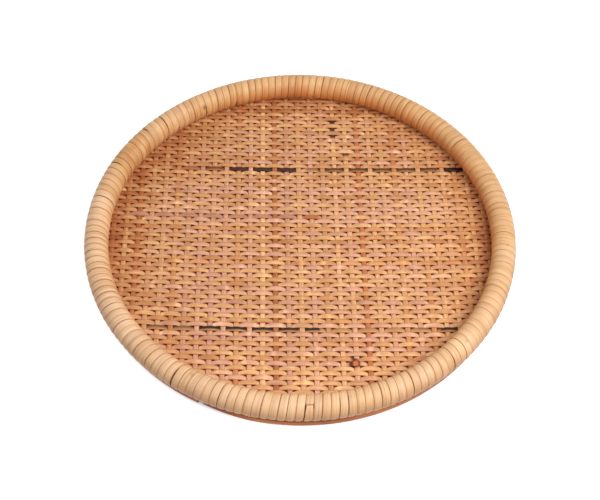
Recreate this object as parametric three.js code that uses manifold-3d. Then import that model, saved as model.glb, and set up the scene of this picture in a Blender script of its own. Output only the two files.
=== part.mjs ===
// Round rattan tray: a woven mat held between a cane-bound rim hoop and a split-rattan foot hoop.
// Millimetres, +Z up. The origin is on the surface that the foot stands on, under the tray's centre.
// +X is the tray's right and -Y its front. Angles run anticlockwise from +X, seen from above.
import * as THREE from "three";
import { mergeVertices } from "three/addons/utils/BufferGeometryUtils.js";
import Module from "manifold-3d";

const wasm = await Module();
wasm.setup();

// Overall
const TRAY_DIAMETER = 350; // over the binding
const CLEARANCE = 0.3; // between pieces that touch
const HOOP_SEGMENTS = 84;

// Rim hoop: a bent rattan pole whose two ends overlap in a pinned scarf
const CORE_WIDTH = 16.5;
const CORE_HEIGHT = 19;
const SECTION_SIDES = 8;
const SCARF_SLOPE_DEG = 30; // between the cut and the run of the pole
const SCARF_BAY = 7; // the scarf lies midway between this brad and the next
const SCARF_PIN_COUNT = 2;
const SCARF_PIN_DIAMETER = 1.6;
const SCARF_PIN_SPACING = 12;
const SCARF_PIN_INSET = 0.5; // below the faces of the pole

// Binding: flat cane wound round the pole, one length after another
const CANE_WIDTH = 5.3;
const CANE_THICKNESS = 1.2;
const CANE_LEAST_GAP = 0.5; // between turns inside the rim, where they lie closest
const CANE_LENGTHS = 7;
const CANE_START_DEG = 272;

// Mat: flat warps run front to back through the wefts that cross them
const WEFT_THICKNESS = 1.0;
const WARP_THICKNESS = 1.2;
const WARP_WIDTH = 3.8;
const WARP_COUNT = 31;
const WARP_LEAN_DEG = 1.7;
const WARP_EDGE_MARGIN = 14.5; // from the mat's edge to the middle of the outermost warp
const MAT_UNDERLAP = 3.5; // past the middle of the rim

// Foot hoop: a strip of split rattan, nearly closed
const FOOT_WIDTH = 10;
const FOOT_HEIGHT = 5;
const FOOT_EDGE_RADIUS = 2;
const FOOT_EDGE_DIVISIONS = 1; // half of the flats round each rounded edge
const FOOT_OVERHANG = 4.5; // past the middle of the rim
const FOOT_GAP = 8; // between the two ends
const FOOT_GAP_DEG = 245;

// Brads, driven up through the foot, the mat and the binding into the pole
const BRAD_COUNT = 12;
const BRAD_DIAMETER = 1.4;
const BRAD_HEAD_DIAMETER = 3.2;
const BRAD_HEAD_THICKNESS = 0.6;
const BRAD_SINK = 0.4; // of the head, above the underside of the foot
const BRAD_GRIP = 7.5; // in the pole, with the point
const BRAD_POINT = 2;
const BRAD_END_SETBACK = 12; // from each end of the foot
const ROUND_SIDES = 8;

// Heights and radii that follow from the dimensions above
const matThickness = WARP_THICKNESS + 2 * WEFT_THICKNESS;
const matBottom = FOOT_HEIGHT + CLEARANCE;
const matTop = matBottom + matThickness;
const bindingDepth = CLEARANCE + CANE_THICKNESS;
const coreBottom = matTop + CLEARANCE + bindingDepth;
const coreCentre = coreBottom + CORE_HEIGHT / 2;
const rimRadius = TRAY_DIAMETER / 2 - bindingDepth - CORE_WIDTH / 2;
const matRadius = rimRadius + MAT_UNDERLAP;
const footOuter = rimRadius + FOOT_OVERHANG;
const footInner = footOuter - FOOT_WIDTH;

// Turns of the binding
const tightestRadius = rimRadius - CORE_WIDTH / 2 - CLEARANCE;
const tightestLength = (2 * Math.PI * tightestRadius) / CANE_LENGTHS;
const turnsPerLength = Math.floor(tightestLength / (CANE_WIDTH + CANE_LEAST_GAP));
const turnAngle = (2 * Math.PI) / (CANE_LENGTHS * turnsPerLength);
const bindingStart = THREE.MathUtils.degToRad(CANE_START_DEG);

// Brads stand in a circle under the middle of the pole, each at the nearest turn of the binding
const footGapAngle = THREE.MathUtils.degToRad(FOOT_GAP_DEG);
const firstBrad = (FOOT_GAP / 2 + BRAD_END_SETBACK) / rimRadius;
const bradSpacing = (2 * Math.PI - 2 * firstBrad) / (BRAD_COUNT - 1);
const bradAngles = Array.from({ length: BRAD_COUNT }, (_, index) => {
  const wanted = footGapAngle + firstBrad + index * bradSpacing;
  return bindingStart + Math.round((wanted - bindingStart) / turnAngle) * turnAngle;
});
const bradHoleRadius = BRAD_DIAMETER / 2 + CLEARANCE;
const bradTip = coreBottom + BRAD_GRIP;
const scarfAngle = footGapAngle + firstBrad + (SCARF_BAY + 0.5) * bradSpacing;

const pole = new THREE.MeshStandardMaterial({ color: "#8a6238", roughness: 0.7, metalness: 0 });
const bindingCane = new THREE.MeshStandardMaterial({ color: "#dcbf93", roughness: 0.55, metalness: 0 });
const weftCane = new THREE.MeshStandardMaterial({ color: "#c3925c", roughness: 0.7, metalness: 0 });
const warpCane = new THREE.MeshStandardMaterial({ color: "#cfa877", roughness: 0.65, metalness: 0 });
const footCane = new THREE.MeshStandardMaterial({ color: "#9c6430", roughness: 0.6, metalness: 0 });
const steel = new THREE.MeshStandardMaterial({ color: "#8d8a84", roughness: 0.4, metalness: 1 });

function solidOf(geometry) {
  const bare = geometry.clone();
  bare.deleteAttribute("normal");
  bare.deleteAttribute("uv");
  const merged = mergeVertices(bare);
  const vertProperties = new Float32Array(merged.attributes.position.array);
  const triVerts = new Uint32Array(merged.index.array);
  return new wasm.Manifold(new wasm.Mesh({ numProp: 3, vertProperties, triVerts }));
}

function geometryOf(solid) {
  const mesh = solid.getMesh();
  const geometry = new THREE.BufferGeometry();
  geometry.setAttribute("position", new THREE.BufferAttribute(mesh.vertProperties, 3));
  geometry.setIndex(new THREE.BufferAttribute(mesh.triVerts, 1));
  geometry.computeVertexNormals();
  return geometry;
}

function namedMesh(name, geometry, material) {
  const mesh = new THREE.Mesh(geometry, material);
  mesh.name = name;
  return mesh;
}

// An upright cylinder between two heights, on the Z axis.
function upright(radius, bottom, top, sides) {
  const cylinder = new THREE.CylinderGeometry(radius, radius, top - bottom, sides);
  return cylinder.rotateX(Math.PI / 2).translate(0, 0, (bottom + top) / 2);
}

// A closed profile of (radius, height) points, turned about the Z axis.
function turned(profile, segments) {
  return new THREE.LatheGeometry(profile, segments).rotateX(Math.PI / 2);
}

// One solid with a copy of the shape at each brad.
function atBrads(shape) {
  const copies = bradAngles.map((angle) => {
    return solidOf(shape.clone().translate(rimRadius, 0, 0).rotateZ(angle));
  });
  return copies.reduce((all, copy) => all.add(copy));
}

const bradHoles = atBrads(upright(bradHoleRadius, -CLEARANCE, bradTip + CLEARANCE, ROUND_SIDES));

// A point (radius, height) on the section of the pole, or on a section that lies outside it by the offset.
// Whole steps are its corners, and halves the middles of its flats.
function sectionPoint(step, offset) {
  const reach = 1 / Math.cos(Math.PI / SECTION_SIDES);
  const corner = (index) => {
    const angle = ((index + 0.5) * 2 * Math.PI) / SECTION_SIDES;
    return new THREE.Vector2(
      rimRadius + (CORE_WIDTH / 2 + offset) * reach * Math.cos(angle),
      coreCentre + (CORE_HEIGHT / 2 + offset) * reach * Math.sin(angle),
    );
  };
  const before = Math.floor(step);
  return corner(before).lerp(corner(before + 1), step - before);
}

const undersideStep = 0.75 * SECTION_SIDES - 0.5;

// Scarf pins lie across the pole, side by side along the scarf.
const scarfPinAngles = Array.from({ length: SCARF_PIN_COUNT }, (_, index) => {
  return scarfAngle + ((index - (SCARF_PIN_COUNT - 1) / 2) * SCARF_PIN_SPACING) / rimRadius;
});

function crossPin(radius, length) {
  return new THREE.CylinderGeometry(radius, radius, length, ROUND_SIDES).rotateZ(Math.PI / 2);
}

function rimCore() {
  const profile = Array.from({ length: SECTION_SIDES + 1 }, (_, step) => sectionPoint(step, 0));
  const crossing = (2 * CORE_WIDTH) / Math.sin(THREE.MathUtils.degToRad(SCARF_SLOPE_DEG));
  const scarfCut = new THREE.BoxGeometry(CLEARANCE, crossing, 2 * CORE_HEIGHT)
    .rotateZ(THREE.MathUtils.degToRad(SCARF_SLOPE_DEG))
    .translate(rimRadius, 0, coreCentre)
    .rotateZ(scarfAngle);
  let core = solidOf(turned(profile, HOOP_SEGMENTS)).subtract(solidOf(scarfCut)).subtract(bradHoles);
  const pinHole = crossPin(SCARF_PIN_DIAMETER / 2 + CLEARANCE, 2 * CORE_WIDTH);
  for (const angle of scarfPinAngles) {
    core = core.subtract(solidOf(pinHole.clone().translate(rimRadius, 0, coreCentre).rotateZ(angle)));
  }
  return namedMesh("rim_core", geometryOf(core), pole);
}

function scarfPins() {
  const group = new THREE.Group();
  const pin = crossPin(SCARF_PIN_DIAMETER / 2, CORE_WIDTH - 2 * SCARF_PIN_INSET);
  scarfPinAngles.forEach((angle, index) => {
    const mesh = namedMesh(`scarf_pin_${index + 1}`, pin, steel);
    mesh.position.set(rimRadius * Math.cos(angle), rimRadius * Math.sin(angle), coreCentre);
    mesh.rotation.z = angle;
    group.add(mesh);
  });
  return group;
}

// The crown and the two edges of the cane at one step of its winding, in order round its section.
function caneRing(step, firstTurn) {
  const angle = bindingStart + (firstTurn + (step - undersideStep) / SECTION_SIDES) * turnAngle;
  const out = new THREE.Vector3(Math.cos(angle), Math.sin(angle), 0);
  const along = new THREE.Vector3(-Math.sin(angle), Math.cos(angle), 0);
  const at = (offset, shift) => {
    const point = sectionPoint(step, offset);
    const place = out.clone().multiplyScalar(point.x).addScaledVector(along, shift);
    return place.setZ(point.y);
  };
  return [at(bindingDepth, 0), at(CLEARANCE, CANE_WIDTH / 2), at(CLEARANCE, -CANE_WIDTH / 2)];
}

// Steps of one length of cane: its two ends, under the rim, and every corner between them.
function caneSteps() {
  const underside = CORE_WIDTH * Math.tan(Math.PI / SECTION_SIDES);
  const trim = CLEARANCE / 2 / underside;
  const corners = turnsPerLength * SECTION_SIDES;
  const inner = Array.from({ length: corners }, (_, index) => Math.ceil(undersideStep) + index);
  return [undersideStep + trim, ...inner, undersideStep + corners - trim];
}

// A solid through rings of points, each ring anticlockwise when seen from the end.
function sweptThrough(rings) {
  const sides = rings[0].length;
  const last = (rings.length - 1) * sides;
  const index = [];
  for (let ring = 0; ring < rings.length - 1; ring++) {
    for (let side = 0; side < sides; side++) {
      const a = ring * sides + side;
      const b = ring * sides + ((side + 1) % sides);
      index.push(a, b, b + sides, a, b + sides, a + sides);
    }
  }
  for (let side = 1; side < sides - 1; side++) {
    index.push(0, side + 1, side, last, last + side, last + side + 1);
  }
  const geometry = new THREE.BufferGeometry().setFromPoints(rings.flat());
  geometry.setIndex(index);
  geometry.computeVertexNormals();
  return geometry;
}

// The least distance between points of the cane that lie at least half a turn apart along it.
function leastGap(steps, firstTurn) {
  const dense = steps.slice(1).flatMap((step, index) => [steps[index], (steps[index] + step) / 2]);
  const rings = dense.map((step) => caneRing(step, firstTurn));
  let least = Infinity;
  for (let i = 0; i < rings.length; i++) {
    for (let j = i + SECTION_SIDES; j < rings.length; j++) {
      for (const a of rings[i]) {
        for (const b of rings[j]) least = Math.min(least, a.distanceTo(b));
      }
    }
  }
  return least;
}

function binding() {
  const group = new THREE.Group();
  const steps = caneSteps();
  for (let length = 0; length < CANE_LENGTHS; length++) {
    const name = `binding_cane_${length + 1}`;
    const firstTurn = length * turnsPerLength;
    const wound = sweptThrough(steps.map((step) => caneRing(step, firstTurn)));
    group.add(namedMesh(name, geometryOf(solidOf(wound).subtract(bradHoles)), bindingCane));
    const gap = leastGap(steps, firstTurn).toFixed(2);
    console.log(`${name}: ${turnsPerLength} turns, least gap to itself ${gap} mm`);
  }
  return group;
}

// The wefts are joined into one panel, which the warps run through.
function mat() {
  const group = new THREE.Group();
  const lean = THREE.MathUtils.degToRad(WARP_LEAN_DEG);
  const middle = (matBottom + matTop) / 2;
  const warpPitch = (2 * (matRadius - WARP_EDGE_MARGIN)) / (WARP_COUNT - 1);
  const warpReach = rimRadius - bradHoleRadius - CLEARANCE;
  const tunnel = new THREE.BoxGeometry(
    WARP_WIDTH + 2 * CLEARANCE,
    2 * matRadius + CLEARANCE,
    WARP_THICKNESS + 2 * CLEARANCE,
  );
  const warps = new THREE.Group();
  warps.rotation.z = lean;
  let panel = solidOf(upright(matRadius, matBottom, matTop, HOOP_SEGMENTS)).subtract(bradHoles);
  for (let number = 1; number <= WARP_COUNT; number++) {
    const x = (number - (WARP_COUNT + 1) / 2) * warpPitch;
    panel = panel.subtract(solidOf(tunnel.clone().translate(x, 0, middle).rotateZ(lean)));
    const length = 2 * Math.sqrt(warpReach ** 2 - (Math.abs(x) + WARP_WIDTH / 2) ** 2);
    const strip = new THREE.BoxGeometry(WARP_WIDTH, length, WARP_THICKNESS);
    const warp = namedMesh(`mat_warp_${String(number).padStart(2, "0")}`, strip, warpCane);
    warp.position.set(x, 0, middle);
    warps.add(warp);
  }
  group.add(namedMesh("mat_wefts", geometryOf(panel), weftCane), warps);
  return group;
}

function footHoop() {
  const outline = new THREE.Path();
  outline.moveTo(footInner + FOOT_EDGE_RADIUS, 0);
  outline.lineTo(footOuter - FOOT_EDGE_RADIUS, 0);
  outline.absarc(
    footOuter - FOOT_EDGE_RADIUS, FOOT_EDGE_RADIUS, FOOT_EDGE_RADIUS, -Math.PI / 2, 0, false,
  );
  outline.lineTo(footOuter, FOOT_HEIGHT);
  outline.lineTo(footInner, FOOT_HEIGHT);
  outline.absarc(
    footInner + FOOT_EDGE_RADIUS, FOOT_EDGE_RADIUS, FOOT_EDGE_RADIUS, Math.PI, 1.5 * Math.PI, false,
  );
  const gap = new THREE.BoxGeometry(2 * FOOT_WIDTH, FOOT_GAP, 3 * FOOT_HEIGHT)
    .translate((footInner + footOuter) / 2, 0, 0)
    .rotateZ(footGapAngle);
  const recessRadius = BRAD_HEAD_DIAMETER / 2 + CLEARANCE;
  const recessTop = BRAD_SINK + BRAD_HEAD_THICKNESS + CLEARANCE;
  const hoop = solidOf(turned(outline.getPoints(FOOT_EDGE_DIVISIONS), HOOP_SEGMENTS))
    .subtract(solidOf(gap))
    .subtract(bradHoles)
    .subtract(atBrads(upright(recessRadius, -CLEARANCE, recessTop, ROUND_SIDES)));
  return namedMesh("foot_hoop", geometryOf(hoop), footCane);
}

function brads() {
  const group = new THREE.Group();
  const profile = [
    [0, BRAD_SINK],
    [BRAD_HEAD_DIAMETER / 2, BRAD_SINK],
    [BRAD_HEAD_DIAMETER / 2, BRAD_SINK + BRAD_HEAD_THICKNESS],
    [BRAD_DIAMETER / 2, BRAD_SINK + BRAD_HEAD_THICKNESS],
    [BRAD_DIAMETER / 2, bradTip - BRAD_POINT],
    [0, bradTip],
  ];
  const nail = turned(profile.map(([radius, height]) => new THREE.Vector2(radius, height)), ROUND_SIDES);
  bradAngles.forEach((angle, index) => {
    const brad = namedMesh(`brad_${String(index + 1).padStart(2, "0")}`, nail, steel);
    brad.position.set(rimRadius * Math.cos(angle), rimRadius * Math.sin(angle), 0);
    group.add(brad);
  });
  return group;
}

const tray = new THREE.Group();
tray.add(rimCore(), scarfPins(), binding(), mat(), footHoop(), brads());

export default tray;
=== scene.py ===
"""Round rattan tray: cane woven, wound and bent round the packed frame, in metres.

+X is the tray's right and -Y its front. Angles round the rim run anticlockwise from +X, seen from above.
Angles round the rim's section are 0 on its outside, 90 on top, 180 on its inside and -90 underneath.
"""
import math
import random

import bmesh
import bpy
from bpy.props import FloatProperty, FloatVectorProperty, IntProperty, PointerProperty
from mathutils import Matrix, Vector, noise


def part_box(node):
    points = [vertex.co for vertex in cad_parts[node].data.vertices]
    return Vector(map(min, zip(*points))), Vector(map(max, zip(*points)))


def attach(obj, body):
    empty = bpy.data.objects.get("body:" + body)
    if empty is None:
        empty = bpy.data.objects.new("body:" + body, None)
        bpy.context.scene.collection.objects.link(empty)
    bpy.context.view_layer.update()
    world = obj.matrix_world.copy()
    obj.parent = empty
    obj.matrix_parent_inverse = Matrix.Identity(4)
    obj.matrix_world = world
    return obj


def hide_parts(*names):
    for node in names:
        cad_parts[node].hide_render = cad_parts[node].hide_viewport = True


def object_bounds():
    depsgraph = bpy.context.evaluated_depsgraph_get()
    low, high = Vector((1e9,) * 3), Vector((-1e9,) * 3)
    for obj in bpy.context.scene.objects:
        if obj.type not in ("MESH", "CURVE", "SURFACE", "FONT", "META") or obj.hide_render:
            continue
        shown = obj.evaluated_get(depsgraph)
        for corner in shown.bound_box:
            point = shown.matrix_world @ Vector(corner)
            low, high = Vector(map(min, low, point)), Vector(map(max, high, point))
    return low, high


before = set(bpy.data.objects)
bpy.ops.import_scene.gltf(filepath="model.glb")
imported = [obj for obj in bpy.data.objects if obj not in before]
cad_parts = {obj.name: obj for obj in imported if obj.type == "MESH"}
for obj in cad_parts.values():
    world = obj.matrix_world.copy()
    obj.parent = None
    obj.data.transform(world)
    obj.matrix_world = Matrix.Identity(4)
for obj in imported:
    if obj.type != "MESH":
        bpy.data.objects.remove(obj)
CAD_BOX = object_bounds()

bl_info = {
    "name": "Rattan tray",
    "version": (1, 0, 0),
    "blender": (4, 5, 0),
    "location": "3D View > Sidebar > Rattan tray",
    "description": "Weaves, winds and bends the cane of a round rattan tray",
    "category": "Object",
}

MM = 0.001
BODY = "root"
BAKE_MAP = "OFBake"

# Sizes that follow from the packed model
MAT_LOW, MAT_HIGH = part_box("mat_wefts")
FOOT_LOW, FOOT_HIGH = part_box("foot_hoop")
TRAY_RADIUS = CAD_BOX[1].x
TRAY_HEIGHT = CAD_BOX[1].z
MAT_RADIUS = MAT_HIGH.x
MAT_MIDDLE = (MAT_LOW.z + MAT_HIGH.z) / 2
WARP_NODES = sorted(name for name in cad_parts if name.startswith("mat_warp_"))
CANE_NODES = sorted(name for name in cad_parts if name.startswith("binding_cane_"))
PIN_NODES = sorted(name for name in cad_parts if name.startswith("scarf_pin_"))
BRAD_NODES = sorted(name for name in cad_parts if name.startswith("brad_"))
MIDDLE_WARP = (len(WARP_NODES) + 1) // 2

# How finely the strands are divided
WEFT_STEPS_PER_WARP = 8
WARP_STEPS_PER_WEFT = 3
WOVEN_SIDES = 8
CANE_STEPS_PER_TURN = 36
CANE_SIDES = 12
FOOT_STEPS = 240
FOOT_SIDES = 16
RECESS_SIDES = 16
WEFT_BANDS = 6

# How round the sections are: 1 is an ellipse, less is squarer
WEFT_ROUNDNESS = 0.7
WARP_ROUNDNESS = 0.8
CANE_ROUNDNESS = 0.85
FOOT_ROUNDNESS = 0.42
# Share of a section's half height that is neither top nor bottom
EDGE = 0.01

# Bake map: margins at a row's ends and sides, half sizes of a strand's filled ends, rows
MAP_END = 0.03
MAP_SIDE = 0.05
MAP_CAP_LONG = 0.01
MAP_CAP_WIDE = 0.3
WARP_MAP_ROWS = 4
FOOT_MAP_ROWS = 12

# Seeds of the random draws
WEFT_SEED = 1000
WARP_SEED = 2000
CANE_SEED = 3000
# Where the materials' noise starts for each kind of strand, and its step from one strand to the next
WEFT_NOISE_STEP = 3.7
WARP_NOISE, WARP_NOISE_STEP = 40, 5.1
CANE_NOISE, CANE_NOISE_STEP = 80, 9.1
FOOT_NOISE = 120

# Wanders along a strand: how far, waves per metre, step from one strand to the next, seed
WEFT_BEND = (0.25 * MM, 30, 0.2, 0.5)
WEFT_LIFT = (0.07, 70, 5.3, 2.5)
WEFT_WIDENING = (0.025, 90, 3.1, 8.5)
WEFT_ROLL = (0.05, 60, 7.7, 9.5)
WEFT_DRIFT = (0.12, 14, 2.3, 4.5)
WEFT_FLECKS = (0.18, 55, 4.7, 5.5)
WEFT_CHIPS = (1, 260, 9.7, 51.5)
WEFT_SHADE = (0.11, 45, 1.9, 6.5)
WARP_DRIFT = (0.2, 12, 2.3, 14.5)
WARP_SHADE = (0.06, 40, 1.9, 16.5)
# The same along the binding, with waves per turn
CANE_SWAY = (0.12 * MM, 1.3, 4.1, 20.5)
CANE_RIPPLE = (0.05 * MM, 2.1, 3.3, 24.5)
CANE_SHADE = (0.03, 5, 1.9, 33.5)
# The same over the scorched stretch, with a step per degree round the section
SCORCH_SPREAD = (0.3, 1.1, 1 / 40, 27.5)
# The same round the foot, with waves per radian
FOOT_WEAR = (0.15 * MM, 9, 0.5, 40.5)
FOOT_SHADE = (0.12, 5, 1.5, 44.5)

# Wefts: flattening of the crowns, narrowing of the waists, how sunk they are at full spread
WEFT_FLATNESS = 0.12
WEFT_WAIST = 0.13
WEFT_SPREAD_FULL = 2 / 3
# Wefts: from the mat's edge to the ends, from there to the outermost weft, spread of ends and places
WEFT_END_GAP = 1.5 * MM
OUTER_WEFT_GAP = 2 * MM
WEFT_END_SPREAD = 1 * MM
WEFT_SHIFT = 0.05 * MM
# Narrowest and widest strand, as shares of the width
WEFT_BREADTHS = (0.97, 1.005)
WARP_BREADTHS = (0.95, 1.04)
# Where the rim presses the mat on the foot, and the heights to which the strands swell there
PRESS_START = 158 * MM
PRESS_END = 163 * MM
PRESS_LOW = MAT_LOW.z - 0.25 * MM
PRESS_HIGH = MAT_HIGH.z + 0.25 * MM
# Swing of a strand, from -1 to 1, at which its face starts to swell and has swollen
WEFT_PRESS = (-0.9, -0.8)
WARP_PRESS = (-0.15, 0.15)
# How far two wefts are pressed past the middle between them
PRESS_OVERLAP = 0.1 * MM

# Shares of pink, honey and orange strands, their hues, the spread and the limit of the hues
WEFT_MIX = (5, 4, 2)
WARP_MIX = (6, 1, 3)
MIX_HUES = (0.05, 0.45, 0.62)
MIX_SPREAD = 0.1
MIX_MOST = 0.75
# Step from one strand's hue to the next, as a share of all the hues
GOLDEN_SHARE = 0.618034
# Spread of the strands' and turns' depths
TONE_SPREAD = 0.05
# Most orange hue of a weft, and painted light and shade across it: hue and depth fall to its back edge, so
# its front half looks lit
WEFT_MOST_HUE = 0.7
WEFT_BACK_SHADE_HUE = 0.08
WEFT_BACK_SHADE = 0.04
# Wander from which on a weft is chipped pale, and how pale
CHIP_START = 0.6
CHIP_PALENESS = 0.5
# Painted shade where a weft sinks, on its back edge and right across: how sunk it is where that starts and is
# full, how much it is
BACK_EDGE_SHADE = (-0.05, 0.55)
BACK_EDGE_SHADE_SPREAD = 1.2
END_SHADE = (0.6, 0.75)
END_SHADE_LEVEL = 0.92
# Share of the edge's paint that a warp takes
WARP_PAINT = 0.85

# Tones of single strands: (number, first x or y in mm, last, hue, depth, stain, front)
# The stain lies behind the front given, as a share of the strand's half width: -2 is right across.
MARKED_WEFTS = (
    (18, -112, -88, 0.8, -0.2, 0.3, -0.1),
    (18, -88, -66, 0.8, -0.25, 0.65, -0.6),
    (18, -66, -2, 1.0, -0.5, 0.88, -2),
    (18, 4, 14, 0.6, -0.1, 0.5, -0.2),
    (18, 14, 118, 0.6, -0.3, 0.85, -0.7),
    (18, 122, 142, 1.0, -0.5, 1.0, -2),
    (-20, -122, -79, 0.6, -0.1, 0.75, -0.1),
    (-20, -79, 0, 0.6, -0.15, 1.0, -0.2),
    (-20, 4, 17, 0.6, -0.1, 1.0, -0.25),
    (-20, 17, 92, 0.6, -0.05, 0.3, -0.1),
    (-20, 92, 110, 0.6, -0.05, 0.6, -0.1),
    (-20, 110, 126, 0.7, -0.1, 1.0, -0.3),
    (6, -152, 0, 0.0, -0.25, 0.05, -2),
    (6, 2, 15, 0.9, -0.08, 0.0, -2),
)
MARKED_WARPS = (
    (13, -170, 170, 0.4, 0.25, 0.0, -2),
    (19, -170, 170, 0.4, 0.16, 0.0, -2),
    (14, -170, 170, 0.8, -0.32, 0.0, -2),
    (18, -170, 170, 0.3, -0.2, 0.0, -2),
    (21, -170, 170, 0.9, -0.02, 0.0, -2),
    (19, 113, 138, 0.8, -0.4, 0.9, -2),
    (20, 92, 98, 0.8, -0.4, 0.9, -2),
)
# Fade of a mark along the strand in mm, and half the fade of its front
MARK_FADE = 2.0
MARK_FRONT_FADE = 0.2
# Blots on the mat: (x, y, radius) in mm, strength, depth, stain
MAT_BLOTS = ((42.8, -118.4, 5.0, 1.8, -0.5, 0.7), (43.6, -118.2, 2.6, 1.6, 0.35, 0.0))
# Where painted shade reddens and darkens the mat towards the rim, and how much in each eighth of the circle
# from the right on
BORDER_START = 95 * MM
BORDER_END = 152 * MM
BORDER_SHADING = (1.9, 0.5, 0.9, 1.3, 1.8, 0.4, -0.5, 0.5)
# Hue that the border's painted shade turns to, by which share, and how much it darkens
BORDER_HUE = 0.9
BORDER_HUE_SHARE = 0.45
BORDER_SHADE = 0.12
# Painted light: how much paler the mat is per metre to the front and right; and how much darker it is all
# over
MAT_PAINTED_LIGHT = 0.35
MAT_SHADE = 0.01

# Marks on the binding: angle round the rim and round its section in degrees, radius in mm and strength
CANE_KNOTS = (
    (122.9, 150, 2.5, 0.75),
    (144.5, 30, 4.0, 0.3),
    (159.2, 25, 3.5, 0.35),
    (241.6, 95, 2.2, 0.3),
    (318.4, 70, 1.8, 0.4),
    (353.0, 80, 1.8, 0.35),
)
# Open seams between two turns: angle round the rim, first and last angle round the section, opening in mm
CANE_SEAMS = (
    (34.7, 40, 150, 0.35),
    (67.8, 30, 150, 0.3),
    (84.0, 30, 150, 0.3),
    (111.0, 185, 230, 0.9),
    (122.6, 165, 230, 0.7),
    (133.9, 185, 230, 0.9),
    (136.3, 20, 140, 0.4),
    (142.8, -10, 90, 1.1),
    (158.2, -10, 110, 0.75),
    (190.2, -20, 60, 0.5),
    (192.7, -20, 50, 0.5),
    (207.7, 0, 120, 0.35),
    (210.0, 0, 100, 0.35),
    (237.5, -20, 85, 0.9),
    (249.5, 0, 110, 0.25),
    (251.6, 0, 100, 0.15),
    (271.1, -20, 75, 0.7),
    (273.2, -20, 75, 0.5),
    (280.0, 0, 90, 0.35),
    (282.4, 0, 100, 0.3),
    (299.3, 0, 110, 0.2),
    (312.5, -20, 60, 0.4),
)
SEAM_BLUR = 30
# Hue and depth of each length of the binding, from the first turn on
# The darker depths of the lengths at the right and back are partly painted shade.
CANE_TONES = (
    (0.14, 0.01), (0.26, -0.05), (0.38, -0.1), (0.42, -0.08), (0.28, -0.06), (0.05, 0.03), (0.05, 0.02)
)
CANE_HUE_SPREAD = 0.09
# Spread of the turns: width, depth of the line beside them, roll
CANE_WIDTHS = (0.985, 1.01)
CANE_LINES = (0.3, 0.8)
CANE_ROLL = 0.02
# Shares of a turn: gap at each end of a length, late start of the first one that leaves the last one's end
# to show on the outside, length of that end's tip. The tip narrows to a share of the width.
CANE_END_GAP = 0.003
LATE_START = 0.44
TIP_SHARE = 0.08
TIP_WIDTH = 0.82
# Fall of a turn's crown to its edges: without a line, what a line adds, power
CREST_FALL = 0.15
CREST_LINE_FALL = 0.38
CREST_POWER = 2.2
# Share of the edge's paint that comes with the line
LINE_PAINT = 0.21
# Degrees from the rim's underside at which the cane starts to be free of the mat, and is
CANE_FREE = (15, 45)
# Stretches of the binding in degrees: first, last, blur. The first three lie round the section, the others
# round the rim, with the right counted both ways from its middle.
INSIDE = (145, 300, 85)
LOW_DOWN = (-100, 25, 50)
OUTSIDE = (-100, 0, 60)
LEFT = (115, 225, 30)
SCORCHED = (145, 159, 3)
RIGHT = (-1, 45, 20)
# What those stretches do to hue, depth and line. Inside the rim and low down outside, hue and depth are
# painted shade, less of it on the left inside.
INSIDE_WARM_SHADE = 0.65
INSIDE_SHADE = 0.03
LOW_YELLOWING = 0.5
LOW_PAINTED_SHADE = 0.36
OUTSIDE_LINE = 1.05
LEFT_LESS_SHADE = 0.5
SCORCH_LEVEL = 0.85
SCORCH_BROWNING = 0.4
SCORCH_SHADE = 0.12
RIGHT_CALM = 0.75
YELLOW_HUE = 0.5

# How far the foot's two ends are drawn in, and over which share of the hoop
FIRST_END_DRAW = 1.5 * MM
FIRST_END_SHARE = 0.04
LAST_END_DRAW = 0.7 * MM
LAST_END_SHARE = 0.1
# A nick in the foot's outer lower edge: angle round the rim and half width in degrees, and depth
NICK_AT = 269.5
NICK_HALF = 0.35
NICK_DEPTH = 0.5 * MM

# How much of a change of shade red, green and blue take, and the range of depth that the materials show
CANE_CHANNELS = (0.8, 1.06, 1.35)
DEPTH_RANGE = 0.8

LAMP_PLACE = Vector((0.5, -0.4, 1.0))
LAMP_SIZE = 0.8
FLOOR_HALF = 4.0
# From the foot's outside to where the tray quite covers the floor, which is painted in shade there, and to
# where the floor is clear
COVERED_FROM = -5 * MM
CLEAR_FROM = 1 * MM


def linear(value):
    """Turns an sRGB hex colour into linear red, green and blue."""
    channels = [int(value[i:i + 2], 16) / 255 for i in (1, 3, 5)]
    return [c / 12.92 if c <= 0.04045 else ((c + 0.055) / 1.055) ** 2.4 for c in channels]


def plain(name, value, about):
    return FloatProperty(name=name, description=about, default=value)


def length(name, size, about):
    return FloatProperty(name=name, description=about, default=size * MM, unit="LENGTH", precision=5)


def angle(name, degrees, about):
    return FloatProperty(name=name, description=about, default=math.radians(degrees), subtype="ANGLE")


def colour(name, value, about):
    return FloatVectorProperty(
        name=name, description=about, default=linear(value), size=3, min=0, max=1, subtype="COLOR"
    )


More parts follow.
